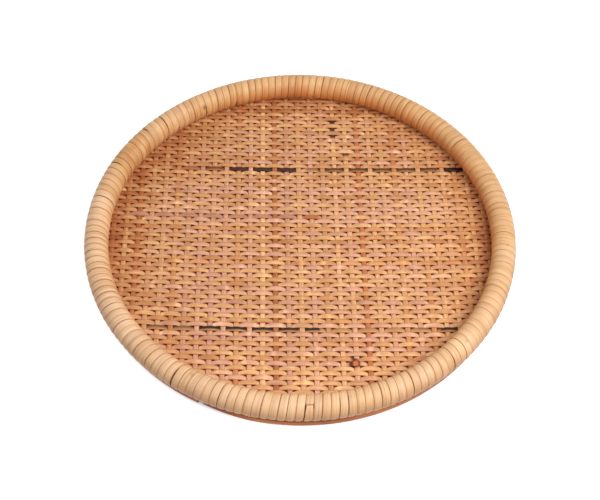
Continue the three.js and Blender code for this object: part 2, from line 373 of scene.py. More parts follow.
class MatSettings(bpy.types.PropertyGroup):
    """Sizes and colours of the woven mat"""

    weft_pitch: length("Weft pitch", 4.35, "Between the middles of two wefts")
    weft_offset: length("Weft offset", -2.0, "From the tray's middle to the middle weft")
    weft_width: length("Weft width", 4.95, "At the middle of a float")
    weft_thickness: length("Weft thickness", 1.1, "At the crown")
    weft_crimp: length("Weft crimp", 0.75, "Rise and fall about the mat's middle")
    weft_cup: length("Weft cup", 0.2, "Bend of the edges back to the mat's middle")
    weft_spread: length("Weft spread", 0.6, "How much wider a weft is under a warp")
    weft_slope: plain("Weft slope", 0.005, "Lean of the wefts")
    weft_bow: plain("Weft bow", 0.125, "Bend of the wefts, per metre")
    warp_pitch: length("Warp pitch", 10.283, "Between the middles of two warps")
    warp_width: length("Warp width", 4.2, "Width of a warp")
    warp_thickness: length("Warp thickness", 1.0, "At the crown")
    warp_crimp: length("Warp crimp", 0.35, "Rise and fall about the mat's middle")
    warp_lean: angle("Warp lean", 1.7, "Turn from straight front to back")
    warp_reach: length("Warp reach", 167.2, "Radius that the warps end on")
    pink: colour("Pink cane", "#dfa683", "Palest, pinkish strands")
    honey: colour("Honey cane", "#e4ac71", "Yellow strands")
    orange: colour("Orange cane", "#bf683c", "Red-brown strands")
    # The strand edge colour is partly the cane's browned edges and partly painted shade on the strands'
    # sloping sides.
    edge: colour("Strand edge", "#a03c08", "Browned edges of the strands")
    # The weave gap colour is painted shade, laid where a strand sinks under another.
    gap: colour("Weave gap", "#5e1402", "Grime where a strand dives under another")
    stain: colour("Stain", "#2c1a12", "Dark skin left on the core, and dark spots")


class RimSettings(bpy.types.PropertyGroup):
    """Sizes and colours of the cane-bound rim"""

    rim_width: length("Rim width", 19.5, "Of the bound rim's section")
    rim_height: length("Rim height", 22.0, "Of the bound rim's section")
    cane_width: length("Cane width", 6.55, "Of the binding cane")
    cane_thickness: length("Cane thickness", 1.2, "At the crown")
    cane_gap: length("Cane gap", 0.03, "Least gap between two turns")
    turns: IntProperty(name="Turns", description="Round the whole rim", default=168)
    start: angle("First turn", 272, "Where the first length of cane starts")
    yellow: colour("Yellow skin", "#ebb97e", "Yellower lengths of cane")
    beige: colour("Beige skin", "#eec297", "Pinker lengths of cane")
    # The brown skin stands partly for real scorch and partly for painted shade inside the rim.
    brown: colour("Brown skin", "#d6701a", "Browned cane, mostly inside the rim")
    edge: colour("Cut edge", "#bd742e", "Brown cut edges of the cane")
    stain: colour("Knot", "#52240a", "Knots, cracks and scorched spots")
    pole: colour("Bare pole", "#8a5c34", "Peeled pole under the binding")
    pole_grain: colour("Pole grain", "#5e3a1c", "Darker pores of the peeled pole")


class FootSettings(bpy.types.PropertyGroup):
    """Sizes and colours of the foot hoop"""

    foot_width: length("Foot width", 10.0, "Width of the strip")
    foot_gap: length("Foot gap", 4.0, "Between the strip's two ends")
    foot_gap_at: angle("Foot gap at", 244.3, "Where the strip's ends meet")
    recess_radius: length("Recess radius", 1.9, "Round each brad's head")
    recess_depth: length("Recess depth", 1.3, "Round each brad's head")
    skin: colour("Brown skin", "#d98448", "Skin of the split pole")
    streak: colour("Dark streak", "#9c4e20", "Darker streaks in the skin")
    steel: colour("Wire", "#8d8a84", "Steel of the brads and pins")


class StageSettings(bpy.types.PropertyGroup):
    """Camera, light and floor"""

    elevation: angle("Elevation", 52.6, "Camera above the horizon")
    roll: angle("Roll", 0.8, "About the camera's axis")
    distance: length("Distance", 962.5, "From the camera to the point it looks at")
    target_y: length("Target", -20.1, "Point that the camera looks at, along Y")
    target_z: length("Target height", 19.8, "Height of that point")
    focal: plain("Focal length", 71.76, "In mm, on a 36 mm sensor")
    sky: plain("Sky", 0.5, "Light from all round")
    lamp: FloatProperty(name="Lamp", description="Power of the soft box", default=10.0, subtype="POWER")
    lift: plain("Lift", 0.9, "How much whiter the camera sees the floor")
    paper: colour("Paper", "#c8c8c8", "Floor of pale paper")
    # The covered paper is painted shade, a dark sheet under the tray where the mat's gaps show the floor.
    paper_shade: colour("Covered paper", "#74340f", "Paper under the tray")


def node(tree, kind, inputs, **settings):
    """Adds a node with its settings, and fills its inputs with values or with other nodes' sockets."""
    made = tree.nodes.new(kind)
    for name, value in settings.items():
        setattr(made, name, value)
    for key, value in inputs.items():
        if isinstance(value, bpy.types.NodeSocket):
            tree.links.new(value, made.inputs[key])
        else:
            made.inputs[key].default_value = value
    return made


def new_material(name):
    material = bpy.data.materials.new(name)
    material.use_nodes = True
    material.node_tree.nodes.clear()
    return material, material.node_tree


def opaque(value):
    """A colour of the settings with full alpha, as a node's socket wants it."""
    return (*value, 1.0)


def strand_look(tree, half_width):
    """What the mesh says of a strand: where it runs in metres, across from -1 to 1, hue, depth, stain."""
    lay = node(tree, "ShaderNodeAttribute", {}, attribute_name="lay").outputs["Vector"]
    tone = node(tree, "ShaderNodeAttribute", {}, attribute_name="tone").outputs["Vector"]
    run = node(tree, "ShaderNodeVectorMath", {0: lay, 1: (1, half_width, 1)}, operation="MULTIPLY")
    across = node(tree, "ShaderNodeSeparateXYZ", {0: lay}).outputs["Y"]
    shades = node(tree, "ShaderNodeSeparateXYZ", {0: tone}).outputs
    return run.outputs[0], across, shades["X"], shades["Y"], shades["Z"]


def streaks(tree, run, long, wide, low=0.0, high=1.0, first=0.3, last=0.7):
    """A shade over streaks of about that length and width: low where the noise is first, high where last."""
    scale = (1 / long, 1 / wide, 1)
    place = node(tree, "ShaderNodeVectorMath", {0: run, 1: scale}, operation="MULTIPLY").outputs[0]
    pattern = node(tree, "ShaderNodeTexNoise", {"Vector": place, "Scale": 1.0, "Detail": 2.0}).outputs[0]
    shade = {"Value": pattern, "From Min": first, "From Max": last, "To Min": low, "To Max": high}
    return node(tree, "ShaderNodeMapRange", shade).outputs[0]


def three_colours(tree, hue, first, middle, last):
    """The first colour where the hue is 0, the middle one where it is 0.5 and the last where it is 1."""
    base = opaque(first)
    for start, end, value in ((0.0, 0.5, middle), (0.5, 1.0, last)):
        share = node(tree, "ShaderNodeMapRange", {"Value": hue, "From Min": start, "From Max": end})
        mixed = {0: share.outputs[0], 6: base, 7: opaque(value)}
        base = node(tree, "ShaderNodeMix", mixed, data_type="RGBA").outputs[2]
    return base


def shaded(tree, base, *shades):
    """A colour multiplied by each of the shades."""
    for shade in shades:
        mixed = {0: 1.0, 6: base, 7: shade}
        base = node(tree, "ShaderNodeMix", mixed, data_type="RGBA", blend_type="MULTIPLY").outputs[2]
    return base


def cane_shade(tree, amount, least, most):
    """A shade of cane, which reddens as it darkens and pales as it lightens, from the least to the most."""
    shades = [[max(0.0, 1 + (end - 1) * part) for part in CANE_CHANNELS] for end in (least, most)]
    mixed = {0: amount, 6: opaque(shades[0]), 7: opaque(shades[1])}
    return node(tree, "ShaderNodeMix", mixed, data_type="RGBA").outputs[2]


def depth_shade(tree, depth):
    """The shade of cane at a strand's depth, of which 0 changes nothing."""
    level = {"Value": depth, "From Min": -DEPTH_RANGE, "From Max": DEPTH_RANGE}
    amount = node(tree, "ShaderNodeMapRange", level).outputs[0]
    return cane_shade(tree, amount, 1 - DEPTH_RANGE, 1 + DEPTH_RANGE)


def surface(tree, inputs, height, depth):
    """Ends a material with its shader, with a bump as deep as said."""
    bump = node(tree, "ShaderNodeBump", {"Height": height, "Strength": 1.0, "Distance": depth})
    shader = node(tree, "ShaderNodeBsdfPrincipled", {**inputs, "Normal": bump.outputs[0]})
    node(tree, "ShaderNodeOutputMaterial", {"Surface": shader.outputs[0]})


def split_core(name, mat, half_width):
    """Split rattan core, dry and open-grained: matt strands whose tone drifts from pink to honey to orange.

    Its fibres are about 0.2 mm wide, too fine for the render, so they are drawn at 0.6 mm.
    """
    material, tree = new_material(name)
    run, across, hue, depth, stain = strand_look(tree, half_width)
    fibres = streaks(tree, run, long=14 * MM, wide=0.6 * MM)
    blotches = streaks(tree, run, long=7 * MM, wide=2.5 * MM)
    base = shaded(
        tree,
        three_colours(tree, hue, mat.pink, mat.honey, mat.orange),
        cane_shade(tree, fibres, 0.82, 1.14),
        cane_shade(tree, blotches, 0.85, 1.12),
        depth_shade(tree, depth),
    )
    # The browned edge is partly painted shade on the sloping sides of each strand.
    away = node(tree, "ShaderNodeMath", {0: across}, operation="ABSOLUTE").outputs[0]
    edge = node(tree, "ShaderNodeMapRange", {"Value": away, "From Min": 0.7, "From Max": 1.0, "To Max": 0.7})
    # Painted shade: beyond a weft's edge the paint takes the weave gap colour, where the weft sinks under a
    # warp.
    gap = node(tree, "ShaderNodeMapRange", {"Value": away, "From Min": 1.0, "From Max": 1.3, "To Max": 0.97})
    for share, value in ((edge.outputs[0], mat.edge), (gap.outputs[0], mat.gap), (stain, mat.stain)):
        base = node(tree, "ShaderNodeMix", {0: share, 6: base, 7: opaque(value)}, data_type="RGBA").outputs[2]
    rough = streaks(tree, run, long=9 * MM, wide=1.2 * MM, low=0.4, high=0.58)
    surface(tree, {"Base Color": base, "Roughness": rough, "Specular IOR Level": 0.25}, fibres, 0.035 * MM)
    return material


def cane_skin(rim):
    """Rattan skin, split off the pole with its hard glossy face out: satin and pale, with brown cut edges.

    Its fibre lines are about 0.15 mm apart, too fine for the render, so they are drawn at 0.8 mm.
    """
    material, tree = new_material("rattan_skin_cane")
    run, across, hue, depth, stain = strand_look(tree, rim.cane_width / 2)
    fibres = streaks(tree, run, long=40 * MM, wide=0.8 * MM)
    splits = streaks(tree, run, long=60 * MM, wide=0.8 * MM, first=0.58, last=0.66)
    clouds = streaks(tree, run, long=11 * MM, wide=4 * MM)
    base = shaded(
        tree,
        three_colours(tree, hue, rim.beige, rim.yellow, rim.brown),
        cane_shade(tree, fibres, 0.82, 1.12),
        cane_shade(tree, splits, 1.0, 0.78),
        cane_shade(tree, clouds, 0.92, 1.06),
        depth_shade(tree, depth),
    )
    away = node(tree, "ShaderNodeMath", {0: across}, operation="ABSOLUTE").outputs[0]
    line = {"Value": away, "From Min": 0.64, "From Max": 1.02}
    edge = node(tree, "ShaderNodeMapRange", line, interpolation_type="SMOOTHSTEP")
    for share, value in ((edge.outputs[0], rim.edge), (stain, rim.stain)):
        base = node(tree, "ShaderNodeMix", {0: share, 6: base, 7: opaque(value)}, data_type="RGBA").outputs[2]
    rough = streaks(tree, run, long=20 * MM, wide=1.5 * MM, low=0.36, high=0.5)
    surface(tree, {"Base Color": base, "Roughness": rough, "Specular IOR Level": 0.3}, fibres, 0.018 * MM)
    return material


def pole_skin(foot):
    """Skin of a split rattan pole, browned and worn: long dark streaks along the strip, low gloss."""
    material, tree = new_material("split_rattan_pole")
    run, _, _, depth, _ = strand_look(tree, foot.foot_width / 2)
    dark = streaks(tree, run, long=45 * MM, wide=0.9 * MM)
    skin = {0: dark, 6: opaque(foot.skin), 7: opaque(foot.streak)}
    base = node(tree, "ShaderNodeMix", skin, data_type="RGBA").outputs[2]
    clouds = streaks(tree, run, long=16 * MM, wide=5 * MM, low=0.88, high=1.1)
    level = node(tree, "ShaderNodeMath", {0: depth, 1: 1.0}, operation="ADD").outputs[0]
    rough = streaks(tree, run, long=20 * MM, wide=2 * MM, low=0.45, high=0.65)
    surface(tree, {"Base Color": shaded(tree, base, clouds, level), "Roughness": rough}, dark, 0.1 * MM)
    return material


def bare_pole(rim):
    """Peeled rattan pole: matt and brown, clouded by its darker pores."""
    material, tree = new_material("peeled_rattan_pole")
    place = node(tree, "ShaderNodeTexCoord", {}).outputs["Object"]
    grain = streaks(tree, place, long=3 * MM, wide=3 * MM)
    wood = {0: grain, 6: opaque(rim.pole), 7: opaque(rim.pole_grain)}
    base = node(tree, "ShaderNodeMix", wood, data_type="RGBA").outputs[2]
    rough = streaks(tree, place, long=6 * MM, wide=6 * MM, low=0.6, high=0.8)
    surface(tree, {"Base Color": base, "Roughness": rough}, grain, 0.1 * MM)
    return material


def steel_wire(foot):
    """Drawn steel wire: grey metal with a soft gloss that fine marks break up."""
    material, tree = new_material("drawn_steel_wire")
    place = node(tree, "ShaderNodeTexCoord", {}).outputs["Object"]
    marks = streaks(tree, place, long=0.5 * MM, wide=0.5 * MM, low=0.3, high=0.5)
    inputs = {"Base Color": opaque(foot.steel), "Metallic": 1.0, "Roughness": marks}
    surface(tree, inputs, marks, 0.02 * MM)
    return material


def rays_to_camera(tree):
    """1 for rays that the camera sends straight, by gloss or through glass, and 0 for the light's own."""
    rays = node(tree, "ShaderNodeLightPath", {}).outputs
    shown = rays["Is Camera Ray"]
    for kind in ("Is Glossy Ray", "Is Transmission Ray"):
        both = {0: shown, 1: rays[kind]}
        shown = node(tree, "ShaderNodeMath", both, operation="ADD", use_clamp=True).outputs[0]
    return shown


def white_paper(stage):
    """Seamless paper: matt, seen as white by the camera, darker where the tray shades it, and painted in
    shade where the tray covers it.
    """
    material, tree = new_material("white_paper")
    place = node(tree, "ShaderNodeTexCoord", {}).outputs["Object"]
    grain = streaks(tree, place, long=2 * MM, wide=2 * MM, low=0.98)
    away = node(tree, "ShaderNodeVectorMath", {0: place}, operation="LENGTH").outputs["Value"]
    edge = {"Value": away, "From Min": FOOT_HIGH.x + COVERED_FROM, "From Max": FOOT_HIGH.x + CLEAR_FROM}
    clear = node(tree, "ShaderNodeMapRange", edge).outputs[0]
    # Painted shade: under the tray the paper takes the colour of paper in shade.
    sheet = {0: clear, 6: opaque(stage.paper_shade), 7: opaque(stage.paper)}
    base = node(tree, "ShaderNodeMix", sheet, data_type="RGBA").outputs[2]
    paper = node(tree, "ShaderNodeBsdfDiffuse", {"Color": shaded(tree, base, grain)})
    white = node(tree, "ShaderNodeMath", {0: rays_to_camera(tree), 1: clear}, operation="MULTIPLY")
    lift = node(tree, "ShaderNodeMath", {0: white.outputs[0], 1: stage.lift}, operation="MULTIPLY")
    glow = node(tree, "ShaderNodeEmission", {"Color": (1, 1, 1, 1), "Strength": lift.outputs[0]})
    both = node(tree, "ShaderNodeAddShader", {0: paper.outputs[0], 1: glow.outputs[0]})
    node(tree, "ShaderNodeOutputMaterial", {"Surface": both.outputs[0]})
    return material


def new_strands():
    """An empty bmesh with the layers that every strand fills."""
    bm = bmesh.new()
    bm.verts.layers.float_vector.new("lay")
    bm.verts.layers.float_vector.new("tone")
    bm.loops.layers.uv.new(BAKE_MAP)
    return bm


def add_strand(bm, steps, sides, place, rows):
    """Adds one closed strand: a grid rolled into a tube with its ends filled.

    place(u, v) gives the point, the lay and the tone at u along the strand and v round its section.
    rows is (first row, rows, rows of the whole bake map): the strand fills them in as many lengths.
    """
    lay = bm.verts.layers.float_vector["lay"]
    tone = bm.verts.layers.float_vector["tone"]
    bake = bm.loops.layers.uv[BAKE_MAP]
    first, count, total = rows
    grid = bmesh.ops.create_grid(bm, x_segments=steps, y_segments=sides, size=0.5)["verts"]
    for face in {face for vert in grid for face in vert.link_faces}:
        row = min(count - 1, int((face.calc_center_median().x + 0.5) * count))
        for loop in face.loops:
            along = MAP_END + (1 - 2 * MAP_END) * ((loop.vert.co.x + 0.5) * count - row)
            aside = MAP_SIDE + (1 - 2 * MAP_SIDE) * (loop.vert.co.y + 0.5)
            loop[bake].uv = (along, (first + row + aside) / total)
    for vert in grid:
        vert.co, vert[lay], vert[tone] = place(vert.co.x + 0.5, vert.co.y + 0.5)
    bmesh.ops.remove_doubles(bm, verts=[vert for vert in grid if vert.is_boundary], dist=0.001 * MM)
    ends = bmesh.ops.edgeloop_fill(bm, edges=[edge for edge in bm.edges if edge.is_boundary])["faces"]
    for number, face in enumerate(ends):
        row = first + (count - 1) * number
        for index, loop in enumerate(face.loops):
            turn = 2 * math.pi * index / len(face.loops)
            along = MAP_END / 2 + (1 - MAP_END) * number + MAP_CAP_LONG * math.cos(turn)
            loop[bake].uv = (along, (row + 0.5 + MAP_CAP_WIDE * math.sin(turn)) / total)


def linked(name, data):
    """A new object in the scene."""
    made = bpy.data.objects.new(name, data)
    bpy.context.scene.collection.objects.link(made)
    return made


def shaped(name, bm):
    """A new object in the scene that takes over a bmesh."""
    mesh = bpy.data.meshes.new(name)
    bm.to_mesh(mesh)
    bm.free()
    return linked(name, mesh)


def finish_piece(bm, name, material, nodes):
    """Makes a bmesh an object that rides on the tray and stands for the nodes."""
    bmesh.ops.recalc_face_normals(bm, faces=bm.faces)
    for face in bm.faces:
        face.smooth = len(face.verts) == 4
    piece = shaped(name, bm)
    piece.data.materials.append(material)
    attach(piece, BODY)
    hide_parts(*nodes)
    return piece


def rounded(v, roundness):
    """A point across and up on a section, which is an ellipse at a roundness of 1 and squarer below."""
    turn = 2 * math.pi * v
    across, up = math.cos(turn), math.sin(turn)
    return math.copysign(abs(across) ** roundness, across), math.copysign(abs(up) ** roundness, up)


def waver(wander, run, number):
    """How far a strand wanders at one place, to either side."""
    amount, waves, step, seed = wander
    return 2 * amount * noise.noise(Vector((run * waves, number * step, seed)))


def ramp(value, first, last):
    """0 up to first, rising to 1 at last."""
    return min(1.0, max(0.0, (value - first) / (last - first)))


def window(value, first, last, blur):
    """1 between first and last, fading to 0 over the blur."""
    inside = min(value - first, last - value)
    return min(1.0, max(0.0, inside / blur + 0.5))


def blended(values, place):
    """The value at a place between two numbers of a list."""
    number = int(place)
    ahead = min(number + 1, len(values) - 1)
    return values[number] + (values[ahead] - values[number]) * (place - number)


def overlaid(tone, other, share):
    """A tone with a share of another one laid over it."""
    return [a + (b - a) * share for a, b in zip(tone, other)]


def marked(marks, number, run, across, tone):
    """The tone at one place of a strand, with the marks that lie there laid over it."""
    for strand, first, last, hue, depth, stain, front in marks:
        if strand == number:
            stain *= ramp(across, front - MARK_FRONT_FADE, front + MARK_FRONT_FADE)
            tone = overlaid(tone, (hue, depth, stain), window(run / MM, first, last, MARK_FADE))
    return tone


def blotted(x, y, tone):
    """The tone with the burnt blots of the mat laid over it."""
    for at_x, at_y, radius, strength, depth, stain in MAT_BLOTS:
        off = math.hypot(x / MM - at_x, y / MM - at_y) / radius
        tone = overlaid(tone, (1.0, depth, stain), min(1.0, strength * max(0.0, 1 - off * off)))
    return tone


def painted_light_and_shade(x, y, tone):
    """The tone with painted light, paler to the front and right, and painted shade, redder and darker towards
    the rim by as much as that eighth is shaded.
    """
    hue, depth, stain = tone
    eighth = math.degrees(math.atan2(y, x)) % 360 / 45
    border = ramp(math.hypot(x, y), BORDER_START, BORDER_END) ** 2
    border *= blended(BORDER_SHADING + BORDER_SHADING[:1], eighth)
    hue += BORDER_HUE_SHARE * border * (BORDER_HUE - hue)
    # Painted light, paler to the front and right, and painted shade at the border.
    depth += MAT_PAINTED_LIGHT * (x - y) - MAT_SHADE - BORDER_SHADE * border
    return hue, depth, stain


def strand_hue(dice, number, weights):
    """A hue from pink through honey to orange, of which no one kind runs on over many strands."""
    place = (number * GOLDEN_SHARE + dice.uniform(-0.1, 0.1)) % 1 * sum(weights)
    kind = 0 if place < weights[0] else 1 if place < weights[0] + weights[1] else 2
    return min(MIX_MOST, max(0.0, MIX_HUES[kind] + dice.gauss(0, MIX_SPREAD)))


def weft_line(mat, number, x):
    """Where a weft runs in plan."""
    return mat.weft_offset + number * mat.weft_pitch + mat.weft_slope * x + mat.weft_bow * x * x


def warp_half(mat, off):
    """Half the length of the warp that lies that far from the tray's middle."""
    return math.sqrt(mat.warp_reach ** 2 - (abs(off) + mat.warp_width / 2) ** 2)


def swollen(side, z, across, up, room, above, below):
    """A point of a strand's section, swollen under the rim to meet what lies over, under and beside it.

    room is half the width that the strand may fill, and above and below say how far its faces are pressed.
    """
    pressed = above if up > EDGE else below if up < -EDGE else max(above, below)
    if abs(across) > 0.5:
        side += pressed * (math.copysign(room, across) - side)
    if up > EDGE:
        z += above * max(0.0, PRESS_HIGH - z)
    elif up < -EDGE:
        z += below * min(0.0, PRESS_LOW - z)
    return side, z


def weft_painted_shade(across, sunk):
    """How far across the paint takes a place of a weft to be: the edges are brown, and painted shade lies
    beyond them where the weft sinks.
    """
    shade_reach = across
    if across > 0:
        shade_reach *= 1 + BACK_EDGE_SHADE_SPREAD * ramp(sunk, *BACK_EDGE_SHADE)
    return shade_reach + ramp(sunk, *END_SHADE) * max(0.0, END_SHADE_LEVEL - shade_reach)


def add_weft(bm, mat, number, reach, rows):
    """Adds one weft, which runs from left to right over every other warp."""
    dice = random.Random(WEFT_SEED + number)
    half = math.sqrt(reach ** 2 - weft_line(mat, number, 0) ** 2) - dice.uniform(0, 1) * WEFT_END_SPREAD
    over = -1 if number % 2 == 0 else 1
    shift = dice.gauss(0, 1) * WEFT_SHIFT
    broad = dice.uniform(*WEFT_BREADTHS)
    hue = strand_hue(dice, number, WEFT_MIX)
    depth = dice.gauss(0, TONE_SPREAD)
    lean_cos, lean_sin = math.cos(mat.warp_lean), math.sin(mat.warp_lean)

    def place(u, v):
        x = half * (2 * u - 1)
        y = weft_line(mat, number, x) + shift + waver(WEFT_BEND, x, number)
        beat = math.pi * (x * lean_cos + y * lean_sin) / mat.warp_pitch
        swing = over * math.cos(beat)
        lift = mat.weft_crimp * (1 + waver(WEFT_LIFT, x, number))
        rise = lift * ((1 + WEFT_FLATNESS) * swing - WEFT_FLATNESS * swing ** 3)
        steep = lift * (1 + WEFT_FLATNESS - 3 * WEFT_FLATNESS * swing ** 2)
        climb = -steep * over * math.sin(beat) * math.pi / mat.warp_pitch
        across, up = rounded(v, WEFT_ROUNDNESS)
        width = mat.weft_width * broad * (1 + waver(WEFT_WIDENING, x, number))
        width *= 1 - WEFT_WAIST + WEFT_WAIST * swing ** 4
        width += mat.weft_spread * ramp(-swing, 0, WEFT_SPREAD_FULL)
        side = across * width / 2
        top = up * mat.weft_thickness / 2 + side * waver(WEFT_ROLL, x, number)
        top -= mat.weft_cup * swing * across ** 2
        level = 1 / math.hypot(1, climb)
        z = MAT_MIDDLE + rise + level * top

        nearest = round(beat / math.pi)
        run = y * lean_cos - x * lean_sin
        crossed = abs(nearest) < MIDDLE_WARP and abs(run) < warp_half(mat, nearest * mat.warp_pitch)
        press = ramp(math.hypot(x, y), PRESS_START, PRESS_END)
        above = press * ramp(swing, *WEFT_PRESS) if crossed else press
        below = press * ramp(-swing, *WEFT_PRESS) if crossed else press
        side, z = swollen(side, z, across, up, mat.weft_pitch / 2 + PRESS_OVERLAP, above, below)

        drift = waver(WEFT_DRIFT, x, number) + waver(WEFT_FLECKS, x, number)
        chipped = CHIP_PALENESS * max(0.0, waver(WEFT_CHIPS, x, number) - CHIP_START)
        # Painted light and shade: each weft is yellower and lighter to its front edge, pinker and darker to
        # its back.
        tone = (
            min(WEFT_MOST_HUE, max(0.0, hue + drift - WEFT_BACK_SHADE_HUE * across)),
            depth + waver(WEFT_SHADE, x, number) + chipped - WEFT_BACK_SHADE * across,
            0.0,
        )
        tone = marked(MARKED_WEFTS, number, x, across, painted_light_and_shade(x, y, tone))
        # Painted shade: the top face darkens where the weft dives under a warp, the underside where it rides
        # over one.
        sunk = -swing if up > -EDGE else swing
        lay = (x, weft_painted_shade(across, sunk), number * WEFT_NOISE_STEP)
        return (x - climb * level * top, y + side, z), lay, blotted(x, y, tone)

    steps = round(2 * half / mat.warp_pitch * WEFT_STEPS_PER_WARP)
    add_strand(bm, steps, WOVEN_SIDES, place, rows)


def add_warp(bm, mat, number):
    """Adds one warp, which runs from front to back."""
    dice = random.Random(WARP_SEED + number)
    off = (number - MIDDLE_WARP) * mat.warp_pitch
    half = warp_half(mat, off)
    over = 1 if number % 2 == 0 else -1
    hue = strand_hue(dice, number, WARP_MIX)
    depth = dice.gauss(0, TONE_SPREAD)
    half_width = mat.warp_width / 2 * dice.uniform(*WARP_BREADTHS)
    lean = Matrix.Rotation(mat.warp_lean, 3, "Z")

    def place(u, v):
        run = half * (2 * u - 1)
        across, up = rounded(v, WARP_ROUNDNESS)
        side = across * half_width
        x, y, _ = lean @ Vector((off + side, run, 0))
        swing = over * math.cos(math.pi * (y - weft_line(mat, 0, x)) / mat.weft_pitch)
        z = MAT_MIDDLE + mat.warp_crimp * swing + up * mat.warp_thickness / 2
        press = ramp(math.hypot(x, y), PRESS_START, PRESS_END)
        above = press * ramp(swing, *WARP_PRESS)
        below = press * ramp(-swing, *WARP_PRESS)
        side, z = swollen(side, z, across, up, half_width, above, below)
        x, y, _ = lean @ Vector((off + side, run, 0))
        tone = (
            min(1.0, max(0.0, hue + waver(WARP_DRIFT, run, number))),
            depth + waver(WARP_SHADE, run, number),
            0.0,
        )
        tone = marked(MARKED_WARPS, number, run, across, painted_light_and_shade(x, y, tone))
        lay = (run, WARP_PAINT * across, number * WARP_NOISE_STEP + WARP_NOISE)
        return (x, y, z), lay, blotted(x, y, tone)

    steps = round(2 * half / mat.weft_pitch * WARP_STEPS_PER_WEFT)
    add_strand(bm, steps, WOVEN_SIDES, place, (0, WARP_MAP_ROWS, WARP_MAP_ROWS))


def cane_seam(rim, at, low, high, opening):
    """An open seam as the turn before it, its first and last angle round the section, and its opening."""
    wound = (math.radians(at) - rim.start) % (2 * math.pi) / (2 * math.pi) * rim.turns
    middle = (low + high) / 2
    return round(wound - (middle + 90) / 360 - 0.5), low, high, opening * MM


def cane_stain(round_rim, degrees, side, radius, section_radius):
    """How dark the knots of the binding make a place that lies that far aside of its turn's middle."""
    stain = 0.0
    for at, round_section, size, strength in CANE_KNOTS:
        gap = math.radians(round_rim - at) * radius + side
        rise = math.radians(degrees - round_section) * section_radius
        off = math.hypot(gap, rise) / (size * MM)
        stain = max(stain, strength * max(0.0, 1 - off * off))
    return stain


def cane_tone(hue, depth, round_rim, degrees, scorch):
    """Hue and depth of the binding: painted shade, brown inside the rim and darker yellow low down, and brown
    where it is scorched.
    """
    scorched = window(round_rim, *SCORCHED) * (SCORCH_LEVEL + scorch)
    # Painted shade inside the rim, less on the left where the light falls in, and low down on the outside.
    inside_shade = window(degrees, *INSIDE) * (1 - LEFT_LESS_SHADE * window(round_rim, *LEFT))
    low_down = window(degrees, *LOW_DOWN)
    hue += LOW_YELLOWING * low_down * (YELLOW_HUE - hue)
    hue += (1 - hue) * max(SCORCH_BROWNING * scorched, INSIDE_WARM_SHADE * inside_shade)
    depth -= LOW_PAINTED_SHADE * low_down + INSIDE_SHADE * inside_shade + SCORCH_SHADE * scorched
    return min(1.0, max(0.0, hue)), depth


def add_length(bm, rim, number, first, last):
    """Adds one length of the binding, from its first turn to its last."""
    dice = random.Random(CANE_SEED + number)
    length_hue, length_depth = CANE_TONES[number]
    turns = range(int(last) + 2)
    depths = [dice.gauss(length_depth, TONE_SPREAD) for _ in turns]
    hues = [dice.gauss(length_hue, CANE_HUE_SPREAD) for _ in turns]
    widths = [dice.uniform(*CANE_WIDTHS) for _ in turns]
    lines = [dice.uniform(*CANE_LINES) for _ in turns]
    rolls = [dice.gauss(0, CANE_ROLL) for _ in turns]
    seams = [cane_seam(rim, *seam) for seam in CANE_SEAMS]
    turn_angle = 2 * math.pi / rim.turns
    half_wide = (rim.rim_width - rim.cane_thickness) / 2
    half_high = (rim.rim_height - rim.cane_thickness) / 2
    section_radius = (half_wide + half_high) / 2

    def place(u, v):
        wound = first + CANE_END_GAP + (last - first - 2 * CANE_END_GAP) * u
        turn = int(wound)
        theta = rim.start + wound * turn_angle
        round_rim = math.degrees(theta) % 360
        section = 2 * math.pi * wound - math.pi / 2
        degrees = math.degrees(section) % 360
        if degrees > 270:
            degrees -= 360
        across, up = rounded(v, CANE_ROUNDNESS)
        radius = TRAY_RADIUS - rim.rim_width / 2 + half_wide * math.cos(section)
        height = TRAY_HEIGHT - rim.rim_height / 2 + half_high * math.sin(section)

        room = radius * turn_angle - rim.cane_gap
        half = min(rim.cane_width * blended(widths, wound), room) / 2
        if number == len(CANE_NODES) - 1:
            half *= min(1.0, TIP_WIDTH + (1 - TIP_WIDTH) * (last - wound) / TIP_SHARE)
        for seam, low, high, opening in seams:
            if (turn == seam and across > 0) or (turn == seam + 1 and across < 0):
                half -= opening / 2 * window(degrees, low, high, SEAM_BLUR)
        side = across * half

        line = lines[turn] if across > 0 else lines[max(turn - 1, 0)]
        line *= 1 - RIGHT_CALM * window(abs((round_rim + 180) % 360 - 180), *RIGHT)
        line = max(line, OUTSIDE_LINE * window(degrees, *OUTSIDE))
        free = ramp(180 - abs(degrees - 90), *CANE_FREE)
        crest = 0.0
        if up > -EDGE:
            crest = 1 - free * (CREST_FALL + CREST_LINE_FALL * line) * abs(across) ** CREST_POWER
        top = (crest - 0.5) * rim.cane_thickness
        top += free * (blended(rolls, wound) * side + waver(CANE_RIPPLE, wound, number))
        out, upward = math.cos(section) / half_wide, math.sin(section) / half_high
        steep = math.hypot(out, upward)
        radius += out / steep * top
        aside = side + waver(CANE_SWAY, wound, number)
        point = (
            radius * math.cos(theta) - aside * math.sin(theta),
            radius * math.sin(theta) + aside * math.cos(theta),
            height + upward / steep * top,
        )

        scorch = waver(SCORCH_SPREAD, wound, degrees)
        hue, depth = cane_tone(blended(hues, wound), blended(depths, wound), round_rim, degrees, scorch)
        depth += waver(CANE_SHADE, wound, number)
        stain = cane_stain(round_rim, degrees, side, radius, section_radius)
        along = wound * 2 * math.pi * section_radius
        painted = across * (1 - LINE_PAINT + LINE_PAINT * line)
        return point, (along, painted, number * CANE_NOISE_STEP + CANE_NOISE), (hue, depth, stain)

    steps = round((last - first) * CANE_STEPS_PER_TURN)
    rows = math.ceil(last - first)
    add_strand(bm, steps, CANE_SIDES, place, (0, rows, rows))


